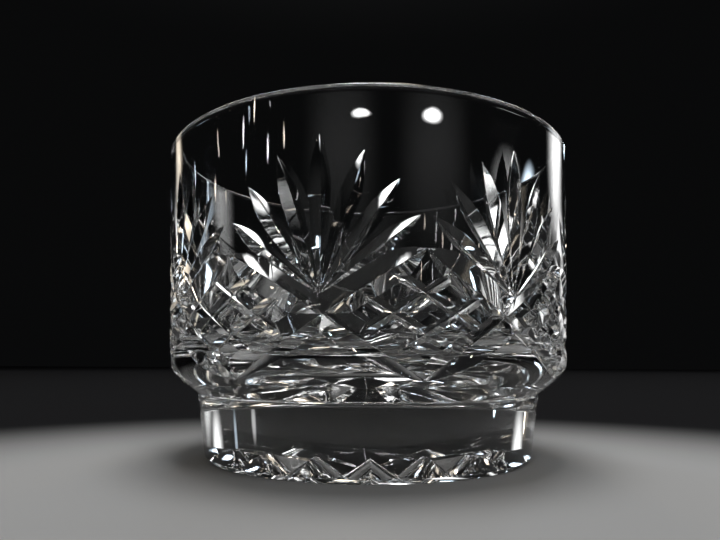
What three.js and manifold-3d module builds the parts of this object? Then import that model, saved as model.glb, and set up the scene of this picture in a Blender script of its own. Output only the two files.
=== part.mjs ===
// Footed cut-crystal bowl: a straight-sided bowl joined to a thick glass foot.
// Millimetres, +Z up. The origin is the centre of the ring that the foot stands on.
// Angles run round the axis from -Y towards +X, and a fan faces -Y.

import * as THREE from 'three';
import { mergeVertices } from 'three/addons/utils/BufferGeometryUtils.js';
import Module from 'manifold-3d';

const wasm = await Module();
wasm.setup();

const radians = THREE.MathUtils.degToRad;

// Bowl body
const RIM_DIAMETER = 203;
const BOWL_HEIGHT = 116; // from the top of the foot to the rim
const RIM_WALL = 5.5;
const RIM_ROUND = 1.6;
const SHOULDER_DIAMETER = 192.6; // where the wall and the underside would meet in a sharp corner
const SHOULDER_ROUND = 14;
const UNDERSIDE_SLOPE = radians(36);
const LOWER_WALL = 8.5;
const FLOOR_THICKNESS = 12;
const FLOOR_DISH = 1.5; // how far the floor sinks from its edge to its centre
const FLOOR_CORNER = 14;

// Foot
const FOOT_HEIGHT = 30;
const FOOT_TOP_DIAMETER = 167;
const FOOT_BASE_DIAMETER = 158;
const FOOT_EDGE_ROUND = 1;
const FOOT_BASE_BEVEL = 2;
const STANDING_RING_WIDTH = 6;
const BASE_HOLLOW = 1.2; // how far the ground underside lies above the standing ring

// Cut pattern on the wall, with heights from the top of the foot
const REPEATS = 8;
const CROSSING_HEIGHT = 31.5;
const DIAMOND_RISE = 23.2; // from the side corners of a diamond to its top and bottom
const MITRE_WIDTH = 11.6;
const MITRE_DEPTH = 4.1;
const MITRE_RUNOUT = 15; // length over which the wheel leaves the glass at each end
const MITRE_OVERRUN = 8; // how far it runs on past a diamond's foot, where the shoulder falls away
const GROOVE_WIDTH = 4;
const GROOVE_DEPTH = 1.5;
const GROOVE_SPACING = 12.4;
const GROOVES_EACH_WAY = 2;
const FAN_LEAVES = 7;
const FAN_LENGTH = 58.4; // length of the middle leaf
const LEAF_STEP = 4.1; // how much shorter each leaf is than its inner neighbour
const LEAF_ANGLE = radians(17.3); // between neighbouring leaves
const LEAF_WIDTH = 8.2;
const LEAF_DEPTH = 2.8;
const LEAF_WIDEST = 0.64; // share of a leaf's length from the apex to its widest place
const LEAF_FULLNESS = 0.6; // below 1 the leaf fills out early on its way there

// Star cut under the foot
const STAR_RAYS = 16;
const STAR_RAY_WIDTH = 20.4; // a little more than its share of the circle, so that neighbours meet in a ridge
const STAR_DEPTH = 7.5;
const STAR_RUNOUT = 22; // length over which a ray arches down to its tip

// Facets
const ROUND_SEGMENTS = 64;
const CORNER_STEPS = 5;
const EDGE_STEPS = 3;
const DISH_STEPS = 3;
const CUT_STEPS = 7;
const LEAF_STEPS = 3;
const TIP_STEPS = 3;
const STAR_STEPS = 3;
const CUTTER_LIFT = 1.5; // how far a cutter stands out of the glass

const rimRadius = RIM_DIAMETER / 2;
const shoulderRadius = SHOULDER_DIAMETER / 2;
const footTopRadius = FOOT_TOP_DIAMETER / 2;
const rimHeight = FOOT_HEIGHT + BOWL_HEIGHT;
const crossingHeight = FOOT_HEIGHT + CROSSING_HEIGHT;
const shoulderHeight = FOOT_HEIGHT + (shoulderRadius - footTopRadius) * Math.tan(UNDERSIDE_SLOPE);

// Points of an arc that rounds the corner between two straight runs of a profile
function roundedCorner(before, corner, after, radius, steps) {
  const back = before.clone().sub(corner).normalize();
  const ahead = after.clone().sub(corner).normalize();
  const halfAngle = Math.acos(back.dot(ahead)) / 2;
  const towardsCentre = back.clone().add(ahead).normalize();
  const centre = corner.clone().addScaledVector(towardsCentre, radius / Math.sin(halfAngle));
  const tangent = radius / Math.tan(halfAngle);
  const start = corner.clone().addScaledVector(back, tangent).sub(centre);
  const sweep = Math.PI - 2 * halfAngle;
  const turn = back.cross(ahead) > 0 ? -sweep : sweep;
  const points = [];
  for (let step = 0; step <= steps; step += 1) {
    const spoke = start.clone().rotateAround(new THREE.Vector2(), (turn * step) / steps);
    points.push(spoke.add(centre));
  }
  return points;
}

// Outside of the bowl as radius and height, from the edge of the foot up to the rim
function outerProfile() {
  const seat = new THREE.Vector2(footTopRadius, FOOT_HEIGHT);
  const shoulder = new THREE.Vector2(shoulderRadius, shoulderHeight);
  const rim = new THREE.Vector2(rimRadius, rimHeight);
  const rimTop = new THREE.Vector2(rimRadius - RIM_WALL, rimHeight);
  return [
    seat,
    ...roundedCorner(seat, shoulder, rim, SHOULDER_ROUND, CORNER_STEPS),
    ...roundedCorner(shoulder, rim, rimTop, RIM_ROUND, EDGE_STEPS),
  ];
}

// Inside of the bowl, from the rim down to the middle of the floor
function innerProfile() {
  const rim = new THREE.Vector2(rimRadius, rimHeight);
  const rimInside = new THREE.Vector2(rimRadius - RIM_WALL, rimHeight);
  const cornerRadius = shoulderRadius - LOWER_WALL;
  const edgeSlope = (2 * FLOOR_DISH) / (cornerRadius - FLOOR_CORNER);
  const centre = new THREE.Vector2(0, FOOT_HEIGHT + FLOOR_THICKNESS);
  // Where the dish's edge, carried on straight, would meet the axis
  const belowCentre = new THREE.Vector2(0, centre.y - FLOOR_DISH);
  const corner = new THREE.Vector2(cornerRadius, belowCentre.y + edgeSlope * cornerRadius);
  const cornerArc = roundedCorner(rimInside, corner, belowCentre, FLOOR_CORNER, CORNER_STEPS);
  return [
    ...roundedCorner(rim, rimInside, corner, RIM_ROUND, EDGE_STEPS),
    ...cornerArc,
    ...dish(cornerArc[CORNER_STEPS], centre),
  ];
}

// Shallow bowl-shaped curve from a floor's edge to its centre, level at the centre
function dish(edge, centre) {
  const points = [];
  for (let step = 1; step <= DISH_STEPS; step += 1) {
    const share = 1 - step / DISH_STEPS;
    points.push(new THREE.Vector2(edge.x * share, centre.y + (edge.y - centre.y) * share ** 2));
  }
  return points;
}

function footProfile() {
  const baseRadius = FOOT_BASE_DIAMETER / 2;
  const ringOuter = baseRadius - FOOT_BASE_BEVEL;
  const ringInner = ringOuter - STANDING_RING_WIDTH;
  const bevelTop = new THREE.Vector2(baseRadius, FOOT_BASE_BEVEL);
  const topEdge = new THREE.Vector2(footTopRadius, FOOT_HEIGHT);
  const topCentre = new THREE.Vector2(0, FOOT_HEIGHT);
  return [
    new THREE.Vector2(0, BASE_HOLLOW),
    new THREE.Vector2(ringInner - BASE_HOLLOW, BASE_HOLLOW),
    new THREE.Vector2(ringInner, 0),
    new THREE.Vector2(ringOuter, 0),
    bevelTop,
    ...roundedCorner(bevelTop, topEdge, topCentre, FOOT_EDGE_ROUND, EDGE_STEPS),
    topCentre,
  ];
}

function latheSolid(profile) {
  const geometry = new THREE.LatheGeometry(profile, ROUND_SEGMENTS);
  geometry.rotateX(Math.PI / 2);
  return solidFrom(geometry);
}

// Closed geometry to a solid that can be cut
function solidFrom(geometry) {
  const bare = geometry.clone();
  bare.deleteAttribute('normal');
  bare.deleteAttribute('uv');
  const merged = mergeVertices(bare, 1e-4);
  const corners = [];
  for (let i = 0; i < merged.index.count; i += 3) {
    const [a, b, c] = [0, 1, 2].map((offset) => merged.index.getX(i + offset));
    if (a !== b && b !== c && c !== a) {
      corners.push(a, b, c);
    }
  }
  return new wasm.Manifold(new wasm.Mesh({
    numProp: 3,
    vertProperties: merged.attributes.position.array,
    triVerts: new Uint32Array(corners),
  }));
}

function geometryFrom(solid) {
  const mesh = solid.getMesh();
  const geometry = new THREE.BufferGeometry();
  geometry.setAttribute('position', new THREE.BufferAttribute(mesh.vertProperties, 3));
  geometry.setIndex(new THREE.BufferAttribute(mesh.triVerts, 1));
  geometry.computeVertexNormals();
  return geometry;
}

// Radius of the straight outer wall at a height, carried on past the shoulder
function wallRadiusAt(height) {
  const share = (height - shoulderHeight) / (rimHeight - shoulderHeight);
  return THREE.MathUtils.lerp(shoulderRadius, rimRadius, share);
}

function wallPoint(angle, height, lift) {
  const radius = wallRadiusAt(height) + lift;
  return new THREE.Vector3(radius * Math.sin(angle), -radius * Math.cos(angle), height);
}

// Solid that runs through triangular sections of three points each, closed at both ends
function wedge(sections) {
  const positions = sections.flat().flatMap((point) => point.toArray());
  const last = 3 * (sections.length - 1);
  const index = [0, 1, 2, last, last + 2, last + 1];
  for (let base = 0; base < last; base += 3) {
    for (let side = 0; side < 3; side += 1) {
      const [a, b] = [base + side, base + ((side + 1) % 3)];
      index.push(a, b + 3, b, a, a + 3, b + 3);
    }
  }
  const geometry = new THREE.BufferGeometry();
  geometry.setAttribute('position', new THREE.Float32BufferAttribute(positions, 3));
  geometry.setIndex(index);
  return solidFrom(geometry);
}

// Shares of the way along a cut, closer together over the tip at its end
function stations(bodySteps, tipShare) {
  const shares = [];
  for (let step = 0; step < bodySteps; step += 1) {
    shares.push(((1 - tipShare) * step) / bodySteps);
  }
  for (let step = 0; step <= TIP_STEPS; step += 1) {
    shares.push(1 - tipShare * (1 - step / TIP_STEPS));
  }
  return shares;
}

// Cutter for a V cut along a straight line over the unrolled wall.
// Ends hold an angle and a height, slope is half the cut's width for each unit of its depth,
// and depthAt gives the depth for a share of the way.
function wallCutter(start, end, shares, slope, depthAt) {
  const middleRadius = wallRadiusAt(crossingHeight);
  const along = new THREE.Vector2((end.angle - start.angle) * middleRadius, end.height - start.height);
  const across = new THREE.Vector2(-along.y, along.x).normalize();
  const sections = shares.map((share) => {
    const depth = depthAt(share);
    const reach = slope * (depth + CUTTER_LIFT);
    const angle = THREE.MathUtils.lerp(start.angle, end.angle, share);
    const height = THREE.MathUtils.lerp(start.height, end.height, share);
    const side = (sign) => wallPoint(
      angle + (sign * reach * across.x) / middleRadius,
      height + sign * reach * across.y,
      CUTTER_LIFT,
    );
    return [wallPoint(angle, height, -depth), side(-1), side(1)];
  });
  return wedge(sections);
}

// Share of its full depth that a cut has where its wheel lifts out along an arc
function runout(toEnd, length) {
  return 1 - Math.max(0, 1 - toEnd / length) ** 2;
}

const repeatAngle = (2 * Math.PI) / REPEATS;
const diamondHalfWidth = (wallRadiusAt(crossingHeight) * repeatAngle) / 2;
const mitreLean = Math.atan2(DIAMOND_RISE, diamondHalfWidth);
const fanApexHeight = crossingHeight + MITRE_WIDTH / 2 / Math.cos(mitreLean);

// Long mitre through one crossing, from the foot of one diamond to the top of the next
function mitreCutter(crossingAngle, lean) {
  const side = Math.hypot(diamondHalfWidth, DIAMOND_RISE);
  const length = 2 * side + MITRE_OVERRUN;
  const pointAt = (distance) => ({
    angle: crossingAngle + (lean * repeatAngle * distance) / side / 2,
    height: crossingHeight + (DIAMOND_RISE * distance) / side,
  });
  const depthAt = (share) => {
    const travelled = share * length;
    return MITRE_DEPTH * runout(travelled, MITRE_RUNOUT) * runout(length - travelled, MITRE_RUNOUT);
  };
  const shares = stations(CUT_STEPS, MITRE_RUNOUT / length);
  const slope = MITRE_WIDTH / 2 / MITRE_DEPTH;
  return wallCutter(pointAt(-side - MITRE_OVERRUN), pointAt(side), shares, slope, depthAt);
}

// Share of its full depth that a leaf has as it swells from its apex and arches out at its tip
function leafFullness(share) {
  return Math.min(1, share / LEAF_WIDEST) ** LEAF_FULLNESS * runout(1 - share, 1 - LEAF_WIDEST);
}

// Narrow grooves parallel to a diamond's sides, which leave flat-topped lozenges between them
function grooveCutters(diamondAngle, lean) {
  const slope = GROOVE_WIDTH / 2 / GROOVE_DEPTH;
  const halfSide = { angle: (lean * repeatAngle) / 4, height: DIAMOND_RISE / 2 };
  const cutters = [];
  for (let groove = 0; groove < GROOVES_EACH_WAY; groove += 1) {
    const offset = (groove - (GROOVES_EACH_WAY - 1) / 2) * GROOVE_SPACING;
    const sideways = offset / Math.sin(mitreLean) / wallRadiusAt(crossingHeight);
    const middle = {
      angle: diamondAngle + sideways / 2,
      height: crossingHeight - (lean * offset) / Math.cos(mitreLean) / 2,
    };
    const start = { angle: middle.angle - halfSide.angle, height: middle.height - halfSide.height };
    const end = { angle: middle.angle + halfSide.angle, height: middle.height + halfSide.height };
    cutters.push(wallCutter(start, end, [0, 0.5, 1], slope, () => GROOVE_DEPTH));
  }
  return cutters;
}

// Fan of leaves that opens upwards from the top corner of a crossing
function fanCutters(fanAngle) {
  const apex = { angle: fanAngle, height: fanApexHeight };
  const outermost = (FAN_LEAVES - 1) / 2;
  const shares = stations(LEAF_STEPS, 1 - LEAF_WIDEST);
  const cutters = [];
  for (let place = -outermost; place <= outermost; place += 1) {
    const length = FAN_LENGTH - LEAF_STEP * Math.abs(place);
    const tilt = place * LEAF_ANGLE;
    const tip = {
      angle: fanAngle + (length * Math.sin(tilt)) / wallRadiusAt(crossingHeight),
      height: fanApexHeight + length * Math.cos(tilt),
    };
    const depth = (LEAF_DEPTH * length) / FAN_LENGTH;
    const depthAt = (share) => depth * leafFullness(share);
    cutters.push(wallCutter(apex, tip, shares, LEAF_WIDTH / 2 / LEAF_DEPTH, depthAt));
  }
  return cutters;
}

function bowlCutters() {
  const cutters = [];
  for (let repeat = 0; repeat < REPEATS; repeat += 1) {
    const crossingAngle = repeat * repeatAngle;
    const diamondAngle = crossingAngle + repeatAngle / 2;
    cutters.push(...fanCutters(crossingAngle));
    for (const lean of [-1, 1]) {
      cutters.push(mitreCutter(crossingAngle, lean));
      cutters.push(...grooveCutters(diamondAngle, lean));
    }
  }
  return cutters;
}

// One ray of the star, a V cut that widens to meet its neighbours and arches out near its tip
function starCutter(angle) {
  const tipRadius = FOOT_BASE_DIAMETER / 2 - FOOT_BASE_BEVEL - STANDING_RING_WIDTH - BASE_HOLLOW;
  const widest = tipRadius - STAR_RUNOUT;
  const slope = STAR_RAY_WIDTH / 2 / STAR_DEPTH;
  const sections = stations(STAR_STEPS, STAR_RUNOUT / tipRadius).map((share) => {
    const radius = tipRadius * share;
    const depth = STAR_DEPTH * Math.min(1, radius / widest) * runout(tipRadius - radius, STAR_RUNOUT);
    const point = (sideways, height) => new THREE.Vector3(
      radius * Math.sin(angle) + sideways * Math.cos(angle),
      sideways * Math.sin(angle) - radius * Math.cos(angle),
      height,
    );
    const reach = slope * (depth + BASE_HOLLOW);
    return [point(0, BASE_HOLLOW + depth), point(reach, 0), point(-reach, 0)];
  });
  return wedge(sections);
}

// The ridges between the rays, not the rays, line up with the fans
function starCutters() {
  return Array.from({ length: STAR_RAYS }, (_, ray) => starCutter(((ray + 0.5) * 2 * Math.PI) / STAR_RAYS));
}

function crystal(colour, roughness) {
  return new THREE.MeshStandardMaterial({
    color: colour,
    roughness,
    metalness: 0,
    transparent: true,
    opacity: 0.35,
  });
}

function makeBowl() {
  const blank = latheSolid([new THREE.Vector2(0, FOOT_HEIGHT), ...outerProfile(), ...innerProfile()]);
  const bowl = blank.subtract(wasm.Manifold.union(bowlCutters()));
  const mesh = new THREE.Mesh(geometryFrom(bowl), crystal(0xeaf1f2, 0.02));
  mesh.name = 'bowl';
  return mesh;
}

function makeFoot() {
  const blank = latheSolid(footProfile());
  const foot = blank.subtract(wasm.Manifold.union(starCutters()));
  const mesh = new THREE.Mesh(geometryFrom(foot), crystal(0xe6eeef, 0.03));
  mesh.name = 'foot';
  return mesh;
}

const footedBowl = new THREE.Group();
footedBowl.add(makeBowl(), makeFoot());

export default footedBowl;
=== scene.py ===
import math

import bmesh
import bpy
import numpy as np
from mathutils import Matrix, Vector


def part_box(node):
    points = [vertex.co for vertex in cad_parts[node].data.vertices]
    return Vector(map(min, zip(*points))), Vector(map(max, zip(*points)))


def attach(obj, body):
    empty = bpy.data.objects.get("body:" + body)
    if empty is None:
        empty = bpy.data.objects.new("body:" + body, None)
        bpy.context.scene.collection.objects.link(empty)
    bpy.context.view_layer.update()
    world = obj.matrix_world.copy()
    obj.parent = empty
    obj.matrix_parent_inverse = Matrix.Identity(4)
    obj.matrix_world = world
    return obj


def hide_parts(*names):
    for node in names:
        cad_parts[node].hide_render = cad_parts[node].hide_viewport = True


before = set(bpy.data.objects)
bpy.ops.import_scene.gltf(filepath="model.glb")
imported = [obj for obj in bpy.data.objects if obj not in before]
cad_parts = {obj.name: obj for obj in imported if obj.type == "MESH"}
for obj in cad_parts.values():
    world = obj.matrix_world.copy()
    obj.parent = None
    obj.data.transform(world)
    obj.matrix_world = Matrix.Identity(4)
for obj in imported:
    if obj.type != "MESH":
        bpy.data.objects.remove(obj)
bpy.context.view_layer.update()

# Footed cut-crystal bowl. Metres, +Z up, the origin at the centre of the ring that it stands on.
# Angles run round the axis from -Y towards +X, and a fan faces -Y.

MM = 0.001

# Heights that the frame gives
foot_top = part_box("foot")[1].z
rim_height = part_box("bowl")[1].z

# Bowl body
RIM_RADIUS = 101.5 * MM
RIM_WALL = 5.5 * MM
RIM_ROUND = 1.6 * MM
SHOULDER_RADIUS = 96.3 * MM
SHOULDER_ROUND = 14 * MM
UNDERSIDE_SLOPE = math.radians(36)
LOWER_WALL = 8.5 * MM
FLOOR_THICKNESS = 12 * MM
FLOOR_DISH = 1.5 * MM
FLOOR_CORNER = 14 * MM

# Foot
FOOT_TOP_RADIUS = 83.5 * MM
FOOT_BASE_RADIUS = 79 * MM
FOOT_EDGE_ROUND = 1 * MM
FOOT_BASE_BEVEL = 2 * MM
STANDING_RING_WIDTH = 6 * MM
BASE_HOLLOW = 1.2 * MM

# Cut pattern on the wall
REPEATS = 8
CROSSING_HEIGHT = foot_top + 31.5 * MM
DIAMOND_RISE = 23.2 * MM
MITRE_WIDTH = 11.6 * MM
MITRE_DEPTH = 4.1 * MM
MITRE_RUNOUT = 15 * MM
MITRE_OVERRUN = 8 * MM
GROOVE_WIDTH = 4 * MM
GROOVE_DEPTH = 1.5 * MM
GROOVE_SPACING = 12.4 * MM
GROOVES_EACH_WAY = 2
FAN_LEAVES = 7
FAN_LENGTH = 58.4 * MM
LEAF_STEP = 4.1 * MM
LEAF_ANGLE = math.radians(17.3)
LEAF_WIDTH = 8.2 * MM
LEAF_DEPTH = 2.8 * MM
LEAF_WIDEST = 0.64
LEAF_FULLNESS = 0.6

# Star cut under the foot
STAR_RAYS = 16
STAR_RAY_WIDTH = 20.4 * MM
STAR_DEPTH = 7.5 * MM
STAR_RUNOUT = 22 * MM

# Fineness of the meshes
ROUND_SEGMENTS = 256
CORNER_STEPS = 14
EDGE_STEPS = 6
DISH_STEPS = 10
CUT_STEPS = 40
TIP_STEPS = 12
CUTTER_LIFT = 1.5 * MM
ON_AXIS = 1e-9

# Shading of the meshes: edges that bend less than SMOOTH_BELOW are smooth. Where a flank of a cut comes
# within ON_SURFACE of the blank's surface, its normal leans towards the surface's by FLANK_ROUNDING.
SMOOTH_BELOW = math.radians(14)
ON_SURFACE = 0.05 * MM
FLANK_ROUNDING = 0.35

# Crystal
CRYSTAL_COLOUR = (0.985, 0.992, 0.99, 1)
CRYSTAL_IOR = 1.545
WAVE_HEIGHT = 1 * MM
WAVE_DETAIL = 2
HAZE_SCALE = 140
HAZE_DETAIL = 4
HAZE_ROUGHNESS = 0.03
SOFT_EDGE_RADIUS = 0.3 * MM
SOFT_EDGE_SAMPLES = 4

# Floor: its pale colour only in a painted pool of light round a point a little in front of the bowl, fading
# to painted shade, near black, further out
FLOOR_SIZE = 8
FLOOR_PALE = (0.45, 0.45, 0.45, 1)
FLOOR_PAINTED_SHADE = (0.015, 0.015, 0.016, 1)
FLOOR_PAINTED_POOL_FORWARD = 0.15
FLOOR_PAINTED_POOL_TO = 0.17
FLOOR_PAINTED_SHADE_FROM = 0.36

# World: nearly black, a little lighter towards the zenith, by the upward part of a direction of length 1
WORLD_TINT = (0.92, 0.96, 1, 1)
WORLD_DARK = 0.003
WORLD_LIGHT = 0.02
WORLD_DARK_BELOW = 0.5
WORLD_LIGHT_ABOVE = 0.9

# Lamps: how far from the bowl, the height that they are aimed at, their middle and how far from it their
# light fades, both in widths of the lamp, and the tints of their light
LAMP_DISTANCE = 3
LAMP_AIM_HEIGHT = 70 * MM
LAMP_MIDDLE = (0.5, 0.5, 0)
LAMP_FADES_FROM = 0.1
LAMP_FADES_TO = 0.5
WHITE = (1, 1, 1)
COOL = (0.72, 0.86, 1)
WARM = (1, 0.87, 0.7)

# Photograph: 28 mm lens on a 36 mm wide frame, close to the bowl and looking slightly up
LENS = 28
SENSOR_WIDTH = 36
CAMERA_NEAREST = 10 * MM
CAMERA_DISTANCE = 292.4 * MM
CAMERA_HEIGHT = 44.4 * MM
CAMERA_ASIDE = -3.95 * MM
CAMERA_PITCH = 0.163
CAMERA_ROLL = 0.003
CAMERA_AZIMUTH = math.radians(10.86)

# How often light may be bent or reflected inside the glass
GLASS_BOUNCES = 32
GLOSSY_BOUNCES = 16

GLASS, SEAM, CUT = 0, 1, 2  # what the faces of a blank and a cutter are marked with

shoulder_height = foot_top + (SHOULDER_RADIUS - FOOT_TOP_RADIUS) * math.tan(UNDERSIDE_SLOPE)


# Profiles: lists of runs, each with its two ends and the outward normals there, all as radius and height,
# and the mark of its faces

def straight(start, end, mark=GLASS):
    along = (np.array(end) - start) / np.linalg.norm(np.array(end) - start)
    outward = np.array([along[1], -along[0]])
    return [(np.array(start), np.array(end), outward, outward, mark)]


def rounded(before, corner, after, radius, steps):
    """Runs of the arc that rounds a corner, with the arc's own normals."""
    back = (before - corner) / np.linalg.norm(before - corner)
    ahead = (after - corner) / np.linalg.norm(after - corner)
    half = math.acos(np.dot(back, ahead)) / 2
    middle = (back + ahead) / np.linalg.norm(back + ahead)
    centre = corner + middle * radius / math.sin(half)
    bends_out = back[0] * ahead[1] - back[1] * ahead[0] > 0
    sweep = (2 * half - math.pi) if bends_out else (math.pi - 2 * half)
    first = corner + back * radius / math.tan(half) - centre
    spokes = [rotate(first, sweep * step / steps) for step in range(steps + 1)]
    side = -1 if bends_out else 1
    return [
        (centre + a, centre + b, side * a / radius, side * b / radius, GLASS)
        for a, b in zip(spokes, spokes[1:])
    ]


def rotate(vector, angle):
    cosine, sine = math.cos(angle), math.sin(angle)
    return np.array([cosine * vector[0] - sine * vector[1], sine * vector[0] + cosine * vector[1]])


def joined(corners):
    """Profile through corners of (radius, height, rounding, steps), with straight runs between the arcs."""
    points = [np.array(corner[:2]) for corner in corners]
    runs = []
    last = points[0]
    for index in range(1, len(corners)):
        rounding, steps = corners[index][2:]
        arc = []
        if rounding:
            arc = rounded(points[index - 1], points[index], points[index + 1], rounding, steps)
        runs += straight(last, arc[0][0] if arc else points[index])
        runs += arc
        last = runs[-1][1]
    return runs


def bowl_profile():
    """Profile of the bowl's blank. The dish takes the place of the last straight run, to the axis."""
    floor = foot_top + FLOOR_THICKNESS
    corner_radius = SHOULDER_RADIUS - LOWER_WALL
    dish_radius = corner_radius - FLOOR_CORNER
    dish_slope = 2 * FLOOR_DISH / dish_radius
    runs = straight((0, foot_top), (FOOT_TOP_RADIUS, foot_top), SEAM)
    runs += joined([
        (FOOT_TOP_RADIUS, foot_top, 0, 0),
        (SHOULDER_RADIUS, shoulder_height, SHOULDER_ROUND, CORNER_STEPS),
        (RIM_RADIUS, rim_height, RIM_ROUND, EDGE_STEPS),
        (RIM_RADIUS - RIM_WALL, rim_height, RIM_ROUND, EDGE_STEPS),
        (corner_radius, floor - FLOOR_DISH + dish_slope * corner_radius, FLOOR_CORNER, CORNER_STEPS),
        (0, floor - FLOOR_DISH, 0, 0),
    ])[:-1]
    return runs + dish(runs[-1][1], floor)


def dish(edge, floor):
    """Runs of the shallow curve from the floor's edge to its centre."""
    sink = edge[1] - floor
    runs = []
    points = []
    for step in range(DISH_STEPS + 1):
        share = 1 - step / DISH_STEPS
        steepness = 2 * sink * share / edge[0]
        normal = np.array([-steepness, 1]) / math.hypot(steepness, 1)
        points.append((np.array([edge[0] * share, floor + sink * share ** 2]), normal))
    for (start, start_normal), (end, end_normal) in zip(points, points[1:]):
        runs.append((start, end, start_normal, end_normal, GLASS))
    return runs


def foot_profile():
    """Profile of the foot's blank, with its top marked as the seam."""
    ring_outer = FOOT_BASE_RADIUS - FOOT_BASE_BEVEL
    ring_inner = ring_outer - STANDING_RING_WIDTH
    runs = joined([
        (0, BASE_HOLLOW, 0, 0),
        (ring_inner - BASE_HOLLOW, BASE_HOLLOW, 0, 0),
        (ring_inner, 0, 0, 0),
        (ring_outer, 0, 0, 0),
        (FOOT_BASE_RADIUS, FOOT_BASE_BEVEL, 0, 0),
        (FOOT_TOP_RADIUS, foot_top, FOOT_EDGE_ROUND, EDGE_STEPS),
        (0, foot_top, 0, 0),
    ])
    top = runs[-1]
    return runs[:-1] + [top[:4] + (SEAM,)]


# Meshes

def mesh_object(name, vertices, faces, marks):
    mesh = bpy.data.meshes.new(name)
    mesh.from_pydata([tuple(v) for v in vertices], [], faces)
    for material in surface_materials:
        mesh.materials.append(material)
    mesh.polygons.foreach_set("material_index", marks)
    mesh.update()
    piece = bpy.data.objects.new(name, mesh)
    bpy.context.scene.collection.objects.link(piece)
    return piece


def lathe(name, runs):
    """Closed body turned from a profile that starts and ends on the axis."""
    points = [runs[0][0]] + [run[1] for run in runs]
    vertices, rings = [], []
    for radius, height in points:
        count = 1 if abs(radius) < ON_AXIS else ROUND_SEGMENTS
        rings.append([len(vertices) + k % count for k in range(ROUND_SEGMENTS)])
        for k in range(count):
            angle = 2 * math.pi * k / ROUND_SEGMENTS
            vertices.append((radius * math.sin(angle), -radius * math.cos(angle), height))
    faces, marks = [], []
    for low, high, run in zip(rings, rings[1:], runs):
        for k in range(ROUND_SEGMENTS):
            after = (k + 1) % ROUND_SEGMENTS
            corners = [low[k], low[after], high[after], high[k]]
            faces.append(list(dict.fromkeys(corners)))
            marks.append(run[4])
    return mesh_object(name, vertices, faces, marks)


def wedges(name, cuts):
    """One object of several separate cutters, each a list of triangular sections."""
    vertices, faces = [], []
    for sections in cuts:
        base = len(vertices)
        last = base + 3 * (len(sections) - 1)
        vertices += [corner for section in sections for corner in section]
        faces += [[base, base + 1, base + 2], [last, last + 2, last + 1]]
        for low in range(base, last, 3):
            for side in range(3):
                a, b = low + side, low + (side + 1) % 3
                faces.append([a, a + 3, b + 3, b])
    return mesh_object(name, vertices, faces, [CUT] * len(faces))


def cut_away(piece, cutter):
    modifier = piece.modifiers.new("cut", "BOOLEAN")
    modifier.operation = "DIFFERENCE"
    modifier.solver = "MANIFOLD"
    modifier.object = cutter
    depsgraph = bpy.context.evaluated_depsgraph_get()
    mesh = bpy.data.meshes.new_from_object(piece.evaluated_get(depsgraph))
    piece.modifiers.clear()
    piece.data = mesh
    bpy.data.objects.remove(cutter)


# Cutters

def wall_radius(height):
    share = (height - shoulder_height) / (rim_height - shoulder_height)
    return SHOULDER_RADIUS + (RIM_RADIUS - SHOULDER_RADIUS) * share


def wall_point(angle, height, lift):
    radius = wall_radius(height) + lift
    return (radius * math.sin(angle), -radius * math.cos(angle), height)


def stations(body_steps, tip_share):
    """Shares of a cut's length at which it has a section, closer together along its tip."""
    body = [(1 - tip_share) * step / body_steps for step in range(body_steps)]
    return body + [1 - tip_share * (1 - step / TIP_STEPS) for step in range(TIP_STEPS + 1)]


def runout(to_end, length):
    """Share of a cut's full depth at a distance from its end, where it rises over the given length."""
    return 1 - max(0, 1 - to_end / length) ** 2


def wall_cut(start, end, shares, slope, depth_at):
    """Sections of a V cut along a straight line over the unrolled wall."""
    middle = wall_radius(CROSSING_HEIGHT)
    along = np.array([(end[0] - start[0]) * middle, end[1] - start[1]])
    across = np.array([-along[1], along[0]]) / np.linalg.norm(along)
    sections = []
    for share in shares:
        depth = depth_at(share)
        angle, height = np.array(start) + share * (np.array(end) - start)
        reach = slope * (depth + CUTTER_LIFT) * across
        sections.append([
            wall_point(angle, height, -depth),
            wall_point(angle - reach[0] / middle, height - reach[1], CUTTER_LIFT),
            wall_point(angle + reach[0] / middle, height + reach[1], CUTTER_LIFT),
        ])
    return sections


repeat_angle = 2 * math.pi / REPEATS
diamond_half_width = wall_radius(CROSSING_HEIGHT) * repeat_angle / 2
mitre_lean = math.atan2(DIAMOND_RISE, diamond_half_width)
fan_apex = CROSSING_HEIGHT + MITRE_WIDTH / 2 / math.cos(mitre_lean)


def mitre(crossing_angle, lean):
    """Deep cut through a crossing, along an edge of each of the two diamonds that meet there."""
    side = math.hypot(diamond_half_width, DIAMOND_RISE)
    length = 2 * side + MITRE_OVERRUN

    def point_at(distance):
        along = distance / side
        return (crossing_angle + lean * repeat_angle * along / 2, CROSSING_HEIGHT + DIAMOND_RISE * along)

    def depth_at(share):
        travelled = share * length
        return MITRE_DEPTH * runout(travelled, MITRE_RUNOUT) * runout(length - travelled, MITRE_RUNOUT)

    shares = stations(CUT_STEPS, MITRE_RUNOUT / length)
    slope = MITRE_WIDTH / 2 / MITRE_DEPTH
    return wall_cut(point_at(-side - MITRE_OVERRUN), point_at(side), shares, slope, depth_at)


def groove(diamond_angle, lean, place):
    """Finer cut across a diamond, parallel to two of its edges."""
    offset = (place - (GROOVES_EACH_WAY - 1) / 2) * GROOVE_SPACING
    sideways = offset / math.sin(mitre_lean) / wall_radius(CROSSING_HEIGHT)
    middle = np.array([
        diamond_angle + sideways / 2,
        CROSSING_HEIGHT - lean * offset / math.cos(mitre_lean) / 2,
    ])
    half_side = np.array([lean * repeat_angle / 4, DIAMOND_RISE / 2])
    shares = np.linspace(0, 1, CUT_STEPS // 2)
    slope = GROOVE_WIDTH / 2 / GROOVE_DEPTH
    return wall_cut(middle - half_side, middle + half_side, shares, slope, lambda share: GROOVE_DEPTH)


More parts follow.
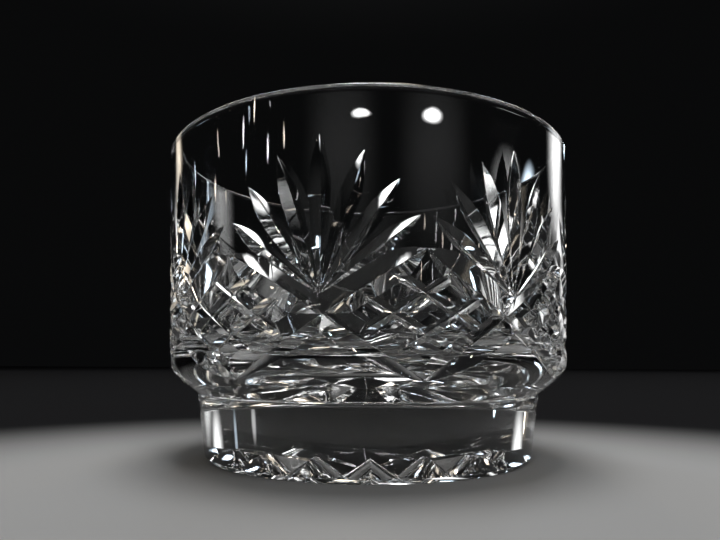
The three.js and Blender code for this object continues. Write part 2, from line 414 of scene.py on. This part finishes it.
def leaf(fan_angle, place):
    """One leaf of a fan, from its apex outwards, by its place from the upright one in the middle."""
    length = FAN_LENGTH - LEAF_STEP * abs(place)
    tilt = place * LEAF_ANGLE
    tip = (
        fan_angle + length * math.sin(tilt) / wall_radius(CROSSING_HEIGHT),
        fan_apex + length * math.cos(tilt),
    )
    depth = LEAF_DEPTH * length / FAN_LENGTH

    def depth_at(share):
        swell = min(1, share / LEAF_WIDEST) ** LEAF_FULLNESS
        return depth * swell * runout(1 - share, 1 - LEAF_WIDEST)

    shares = stations(CUT_STEPS // 2, 1 - LEAF_WIDEST)
    return wall_cut((fan_angle, fan_apex), tip, shares, LEAF_WIDTH / 2 / LEAF_DEPTH, depth_at)


def star_ray(angle):
    """One ray of the star, from the middle of the hollow under the foot to its edge."""
    tip_radius = FOOT_BASE_RADIUS - FOOT_BASE_BEVEL - STANDING_RING_WIDTH - BASE_HOLLOW
    widest = tip_radius - STAR_RUNOUT
    slope = STAR_RAY_WIDTH / 2 / STAR_DEPTH
    sections = []
    for share in stations(CUT_STEPS // 2, STAR_RUNOUT / tip_radius):
        radius = tip_radius * share
        depth = STAR_DEPTH * min(1, radius / widest) * runout(tip_radius - radius, STAR_RUNOUT)
        reach = slope * (depth + BASE_HOLLOW)
        sections.append([
            turned(radius, 0, BASE_HOLLOW + depth, angle),
            turned(radius, reach, 0, angle),
            turned(radius, -reach, 0, angle),
        ])
    return sections


def turned(radius, sideways, height, angle):
    x = radius * math.sin(angle) + sideways * math.cos(angle)
    y = sideways * math.sin(angle) - radius * math.cos(angle)
    return (x, y, height)


def cut_wall(bowl):
    """Takes the cuts one kind at a time, so that the cutters in one object never overlap."""
    angles = [repeat * repeat_angle for repeat in range(REPEATS)]
    outermost = (FAN_LEAVES - 1) // 2
    for place in range(-outermost, outermost + 1):
        cut_away(bowl, wedges("leaf_cutters", [leaf(angle, place) for angle in angles]))
    for lean in (-1, 1):
        for parity in (0, 1):
            cut_away(bowl, wedges("mitre_cutters", [mitre(angle, lean) for angle in angles[parity::2]]))
        for place in range(GROOVES_EACH_WAY):
            between = [angle + repeat_angle / 2 for angle in angles]
            cut_away(bowl, wedges("groove_cutters", [groove(angle, lean, place) for angle in between]))
    drop_doubled_faces(bowl.data)


def drop_doubled_faces(mesh):
    """Takes out the slivers of two faces on the same corners, which enclose nothing."""
    shape = bmesh.new()
    shape.from_mesh(mesh)
    by_corners = {}
    for face in shape.faces:
        by_corners.setdefault(frozenset(face.verts), []).append(face)
    doubled = [face for faces in by_corners.values() if len(faces) > 1 for face in faces]
    bmesh.ops.delete(shape, geom=doubled, context="FACES")
    shape.to_mesh(mesh)
    shape.free()


def cut_star(foot):
    for ray in range(STAR_RAYS):
        cut_away(foot, wedges("star_cutter", [star_ray((ray + 0.5) * 2 * math.pi / STAR_RAYS)]))


# Normals: the turned surfaces get the exact ones of their profile, the cuts stay crisp at their edges

def profile_normals(points, centroids, runs):
    """Outward normals of points on a turned surface, each by the run nearest to its face's middle.

    Also returns how far each of those middles is from the surface."""
    starts = np.array([run[0] for run in runs])
    ends = np.array([run[1] for run in runs])
    start_normals = np.array([run[2] for run in runs])
    end_normals = np.array([run[3] for run in runs])

    def flat(where):
        return np.stack([np.hypot(where[:, 0], where[:, 1]), where[:, 2]], axis=1)

    along = ends - starts
    length_squared = (along ** 2).sum(axis=1)
    middles = flat(centroids)
    nearest = np.empty(len(middles), dtype=int)
    distances = np.empty(len(middles))
    for index, middle in enumerate(middles):
        share = np.clip(((middle - starts) * along).sum(axis=1) / length_squared, 0, 1)
        gap = ((starts + share[:, None] * along - middle) ** 2).sum(axis=1)
        nearest[index] = int(gap.argmin())
        distances[index] = math.sqrt(gap.min())
    spots = flat(points)
    share = ((spots - starts[nearest]) * along[nearest]).sum(axis=1) / length_squared[nearest]
    share = np.clip(share, 0, 1)[:, None]
    normal = start_normals[nearest] * (1 - share) + end_normals[nearest] * share
    normal /= np.linalg.norm(normal, axis=1)[:, None]
    around = np.arctan2(points[:, 0], -points[:, 1])
    normals = np.stack([normal[:, 0] * np.sin(around), -normal[:, 0] * np.cos(around), normal[:, 1]], axis=1)
    return normals, distances


def numbers_of(items, attribute):
    values = np.empty(len(items), dtype=int)
    items.foreach_get(attribute, values)
    return values


def vectors_of(items, attribute):
    values = np.empty(len(items) * 3)
    items.foreach_get(attribute, values)
    return values.reshape(-1, 3)


def set_normals(piece, runs):
    """Gives the turned faces their profile's normals, and leans those of the cuts at their upper edges."""
    mesh = piece.data
    mesh.shade_smooth()
    mesh.set_sharp_from_angle(angle=SMOOTH_BELOW)
    normals = vectors_of(mesh.corner_normals, "vector")
    places = vectors_of(mesh.vertices, "co")[numbers_of(mesh.loops, "vertex_index")]
    face_of_corner = np.repeat(np.arange(len(mesh.polygons)), numbers_of(mesh.polygons, "loop_total"))
    smooth = numbers_of(mesh.polygons, "material_index")[face_of_corner] != CUT
    centroids = vectors_of(mesh.polygons, "center")[face_of_corner][smooth]
    normals[smooth] = profile_normals(places[smooth], centroids, runs)[0]
    surface, depths = profile_normals(places[~smooth], places[~smooth], runs)
    flanks = normals[~smooth] + np.where(depths < ON_SURFACE, FLANK_ROUNDING, 0)[:, None] * surface
    normals[~smooth] = flanks / np.linalg.norm(flanks, axis=1)[:, None]
    mesh.normals_split_custom_set(normals)


# Materials

def new_material(name):
    material = bpy.data.materials.new(name)
    material.use_nodes = True
    material.node_tree.nodes.clear()
    return material, material.node_tree.nodes, material.node_tree.links


def add_noise(nodes, links, coordinates, scale, detail):
    noise = nodes.new("ShaderNodeTexNoise")
    noise.inputs["Scale"].default_value = scale
    noise.inputs["Detail"].default_value = detail
    links.new(coordinates.outputs["Object"], noise.inputs["Vector"])
    return noise.outputs["Fac"]


def add_distance(nodes, links, place, centre):
    distance = nodes.new("ShaderNodeVectorMath")
    distance.operation = "DISTANCE"
    distance.inputs[1].default_value = centre
    links.new(place, distance.inputs[0])
    return distance.outputs["Value"]


def add_fade(nodes, links, value, start, end):
    """Smooth change from 0 where the value is start to 1 where it is end, which may be the smaller one."""
    fade = nodes.new("ShaderNodeMapRange")
    fade.interpolation_type = "SMOOTHSTEP"
    fade.inputs["From Min"].default_value = start
    fade.inputs["From Max"].default_value = end
    links.new(value, fade.inputs["Value"])
    return fade


def crystal_material(name, wave_scale, waviness):
    """Water-clear crystal, finished by hand: waves in the surface, a trace of haze and softened edges."""
    material, nodes, links = new_material(name)
    output = nodes.new("ShaderNodeOutputMaterial")
    glass = nodes.new("ShaderNodeBsdfPrincipled")
    glass.inputs["Base Color"].default_value = CRYSTAL_COLOUR
    glass.inputs["IOR"].default_value = CRYSTAL_IOR
    glass.inputs["Transmission Weight"].default_value = 1
    coordinates = nodes.new("ShaderNodeTexCoord")
    waves = add_noise(nodes, links, coordinates, wave_scale, WAVE_DETAIL)
    haze = nodes.new("ShaderNodeMapRange")
    haze.inputs["To Min"].default_value = 0
    haze.inputs["To Max"].default_value = HAZE_ROUGHNESS
    links.new(add_noise(nodes, links, coordinates, HAZE_SCALE, HAZE_DETAIL), haze.inputs["Value"])
    links.new(haze.outputs["Result"], glass.inputs["Roughness"])
    bump = nodes.new("ShaderNodeBump")
    bump.inputs["Strength"].default_value = waviness
    bump.inputs["Distance"].default_value = WAVE_HEIGHT
    links.new(waves, bump.inputs["Height"])
    edges = nodes.new("ShaderNodeBevel")
    edges.samples = SOFT_EDGE_SAMPLES
    edges.inputs["Radius"].default_value = SOFT_EDGE_RADIUS
    links.new(edges.outputs["Normal"], bump.inputs["Normal"])
    links.new(bump.outputs["Normal"], glass.inputs["Normal"])
    links.new(glass.outputs["BSDF"], output.inputs["Surface"])
    return material


def seam_material():
    """The plane on which the foot is joined to the bowl: glass meets glass there, so light passes unbent."""
    material, nodes, links = new_material("seam")
    output = nodes.new("ShaderNodeOutputMaterial")
    clear = nodes.new("ShaderNodeBsdfTransparent")
    links.new(clear.outputs["BSDF"], output.inputs["Surface"])
    return material


def dress(piece, node):
    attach(piece, "root")
    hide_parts(node)


# Scene

def floor_material():
    """Pale paper in a painted pool of light round the bowl, with painted shade, near black, further out for
    the dark of the room.
    """
    material, nodes, links = new_material("floor_paper_painted_pool")
    output = nodes.new("ShaderNodeOutputMaterial")
    diffuse = nodes.new("ShaderNodeBsdfDiffuse")
    coordinates = nodes.new("ShaderNodeTexCoord")
    # Painted pool of light: the colour goes from the pale floor colour to painted shade by distance from a
    # point in front of the bowl
    middle = FLOOR_PAINTED_POOL_FORWARD * Vector((math.sin(CAMERA_AZIMUTH), -math.cos(CAMERA_AZIMUTH), 0))
    distance = add_distance(nodes, links, coordinates.outputs["Object"], middle)
    fade = add_fade(nodes, links, distance, FLOOR_PAINTED_POOL_TO, FLOOR_PAINTED_SHADE_FROM)
    colour = nodes.new("ShaderNodeMix")
    colour.data_type = "RGBA"
    colour.inputs["A"].default_value = FLOOR_PALE
    colour.inputs["B"].default_value = FLOOR_PAINTED_SHADE
    links.new(fade.outputs["Result"], colour.inputs["Factor"])
    links.new(colour.outputs["Result"], diffuse.inputs["Color"])
    links.new(diffuse.outputs["BSDF"], output.inputs["Surface"])
    return material


def make_floor():
    bpy.ops.mesh.primitive_plane_add(size=FLOOR_SIZE, location=(0, 0, 0))
    floor = bpy.context.object
    floor.name = "floor"
    floor.data.materials.append(floor_material())


def soften_edges(lamp):
    """Lets the lamp's light fade from its middle to its edges, as behind a diffuser."""
    lamp.use_nodes = True
    nodes, links = lamp.node_tree.nodes, lamp.node_tree.links
    geometry = nodes.new("ShaderNodeNewGeometry")
    distance = add_distance(nodes, links, geometry.outputs["Parametric"], LAMP_MIDDLE)
    fade = add_fade(nodes, links, distance, LAMP_FADES_TO, LAMP_FADES_FROM)
    links.new(fade.outputs["Result"], nodes["Emission"].inputs["Strength"])


def length_across(degrees):
    return 2 * LAMP_DISTANCE * math.tan(math.radians(degrees) / 2)


def make_lamp(name, wide, high, azimuth, elevation, radiance, tint=WHITE):
    """Soft rectangular lamp that faces the bowl. It is as wide and high in degrees as the bowl sees it.

    Its azimuth is 0 straight behind the bowl, as the camera looks, and grows to the right."""
    lamp = bpy.data.lights.new(name, "AREA")
    lamp.shape = "RECTANGLE"
    lamp.size = length_across(wide)
    lamp.size_y = length_across(high)
    lamp.energy = radiance * math.pi * lamp.size * lamp.size_y
    lamp.color = tint
    soften_edges(lamp)
    holder = bpy.data.objects.new(name, lamp)
    turn, rise = math.radians(azimuth) - CAMERA_AZIMUTH, math.radians(elevation)
    away = Vector((math.sin(turn) * math.cos(rise), math.cos(turn) * math.cos(rise), math.sin(rise)))
    holder.location = Vector((0, 0, LAMP_AIM_HEIGHT)) + LAMP_DISTANCE * away
    holder.rotation_euler = away.to_track_quat("Z", "Y").to_euler()
    holder.visible_camera = False
    bpy.context.scene.collection.objects.link(holder)


def make_soft_lamps():
    """Large lamps that fill the facets, above, behind and on both sides."""
    make_lamp("overhead_softbox", wide=26, high=26, azimuth=0, elevation=88, radiance=22)
    for number, azimuth in enumerate((-52, -22, 8, 36, 60)):
        tint = COOL if number % 2 else WARM
        name = f"high_back_strip_{number + 1}"
        make_lamp(name, wide=7, high=18, azimuth=azimuth, elevation=48, radiance=9, tint=tint)
    make_lamp("back_softbox", wide=24, high=8, azimuth=-7, elevation=31.8, radiance=5.5)
    make_lamp("front_softbox", wide=18, high=14, azimuth=160, elevation=58, radiance=12)
    make_lamp("left_strip", wide=12, high=30, azimuth=-50, elevation=22, radiance=1.3, tint=WARM)
    make_lamp("right_strip", wide=24, high=28, azimuth=56, elevation=20, radiance=2.4)
    make_lamp("left_softbox", wide=14, high=9, azimuth=-82, elevation=7, radiance=3.5, tint=COOL)
    make_lamp("right_softbox", wide=26, high=9, azimuth=101, elevation=9, radiance=4.5)
    make_lamp("low_left_softbox", wide=13, high=14, azimuth=-43, elevation=5, radiance=1.8)
    make_lamp("low_right_softbox", wide=13, high=14, azimuth=45, elevation=5, radiance=1.8)
    make_lamp("low_right_strip", wide=2, high=8, azimuth=31, elevation=5, radiance=0.6, tint=COOL)
    make_lamp("leaf_strip", wide=2, high=6, azimuth=23, elevation=5.5, radiance=0.5)
    make_lamp("leaf_lamp", wide=3, high=8, azimuth=22, elevation=15.5, radiance=3, tint=COOL)


def make_room_lamps():
    """What the smooth wall mirrors: the glow of the room, two lamps in it, and streaks near the rim."""
    make_lamp("room_glow_left", wide=44, high=24, azimuth=-166, elevation=14, radiance=0.17)
    make_lamp("room_glow_right", wide=44, high=24, azimuth=146, elevation=14, radiance=0.17)
    make_lamp("small_lamp_left", wide=11, high=1.1, azimuth=184, elevation=19.8, radiance=50)
    make_lamp("small_lamp_right", wide=12, high=1.7, azimuth=148, elevation=20.1, radiance=50)
    make_lamp("streak_lamp_1", wide=1, high=3.6, azimuth=-112, elevation=19, radiance=50)
    make_lamp("streak_lamp_2", wide=1, high=3, azimuth=-119, elevation=21, radiance=50, tint=WARM)
    make_lamp("streak_lamp_3", wide=1, high=3.6, azimuth=-127, elevation=17, radiance=50)


def make_sparkle_lamps():
    """Small bright lamps, in turn cool and warm, for the sparks in the facets."""
    for place in range(-2, 3):
        tint = COOL if place % 2 else WARM
        name = f"ceiling_lamp_{place + 3}"
        azimuth = 180 + 14 * place
        elevation = 48 + 3 * place
        make_lamp(name, wide=2, high=2, azimuth=azimuth, elevation=elevation, radiance=90, tint=tint)
    for place in range(12):
        side = 1 if place % 2 else -1
        tint = COOL if place % 4 < 2 else WARM
        name = f"small_strip_{place + 1}"
        azimuth = side * (26 + 11 * place)
        elevation = 8 + 13 * place % 24
        make_lamp(name, wide=1, high=3, azimuth=azimuth, elevation=elevation, radiance=30, tint=tint)


def make_world():
    world = bpy.data.worlds.new("studio")
    bpy.context.scene.world = world
    world.use_nodes = True
    nodes, links = world.node_tree.nodes, world.node_tree.links
    coordinates = nodes.new("ShaderNodeTexCoord")
    split = nodes.new("ShaderNodeSeparateXYZ")
    links.new(coordinates.outputs["Generated"], split.inputs["Vector"])
    fade = add_fade(nodes, links, split.outputs["Z"], WORLD_DARK_BELOW, WORLD_LIGHT_ABOVE)
    fade.inputs["To Min"].default_value = WORLD_DARK
    fade.inputs["To Max"].default_value = WORLD_LIGHT
    nodes["Background"].inputs["Color"].default_value = WORLD_TINT
    links.new(fade.outputs["Result"], nodes["Background"].inputs["Strength"])


def make_camera():
    data = bpy.data.cameras.new("camera")
    data.lens = LENS
    data.sensor_width = SENSOR_WIDTH
    data.clip_start = CAMERA_NEAREST
    camera = bpy.data.objects.new("camera", data)
    bpy.context.scene.collection.objects.link(camera)
    swing = Matrix.Rotation(CAMERA_AZIMUTH, 4, "Z")
    place = swing @ Matrix.Translation((CAMERA_ASIDE, -CAMERA_DISTANCE, CAMERA_HEIGHT))
    tilt = Matrix.Rotation(math.pi / 2 + CAMERA_PITCH, 4, "X")
    camera.matrix_world = place @ tilt @ Matrix.Rotation(CAMERA_ROLL, 4, "Z")
    bpy.context.scene.camera = camera


def set_up_render():
    scene = bpy.context.scene
    scene.view_settings.view_transform = "Standard"
    scene.cycles.caustics_refractive = False
    scene.cycles.max_bounces = GLASS_BOUNCES
    scene.cycles.transmission_bounces = GLASS_BOUNCES
    scene.cycles.transparent_max_bounces = GLASS_BOUNCES
    scene.cycles.glossy_bounces = GLOSSY_BOUNCES


def make_object():
    bowl_runs, foot_runs = bowl_profile(), foot_profile()
    bowl = lathe("bowl_glass", bowl_runs)
    cut_wall(bowl)
    set_normals(bowl, bowl_runs)
    dress(bowl, "bowl")
    foot = lathe("foot_glass", foot_runs)
    cut_star(foot)
    set_normals(foot, foot_runs)
    dress(foot, "foot")


surface_materials = [  # in the order of GLASS, SEAM and CUT
    crystal_material("crystal_polished", wave_scale=22, waviness=0.15),
    seam_material(),
    crystal_material("crystal_cut", wave_scale=110, waviness=0.05),
]
set_up_render()
make_camera()
make_floor()
make_soft_lamps()
make_room_lamps()
make_sparkle_lamps()
make_world()
make_object()
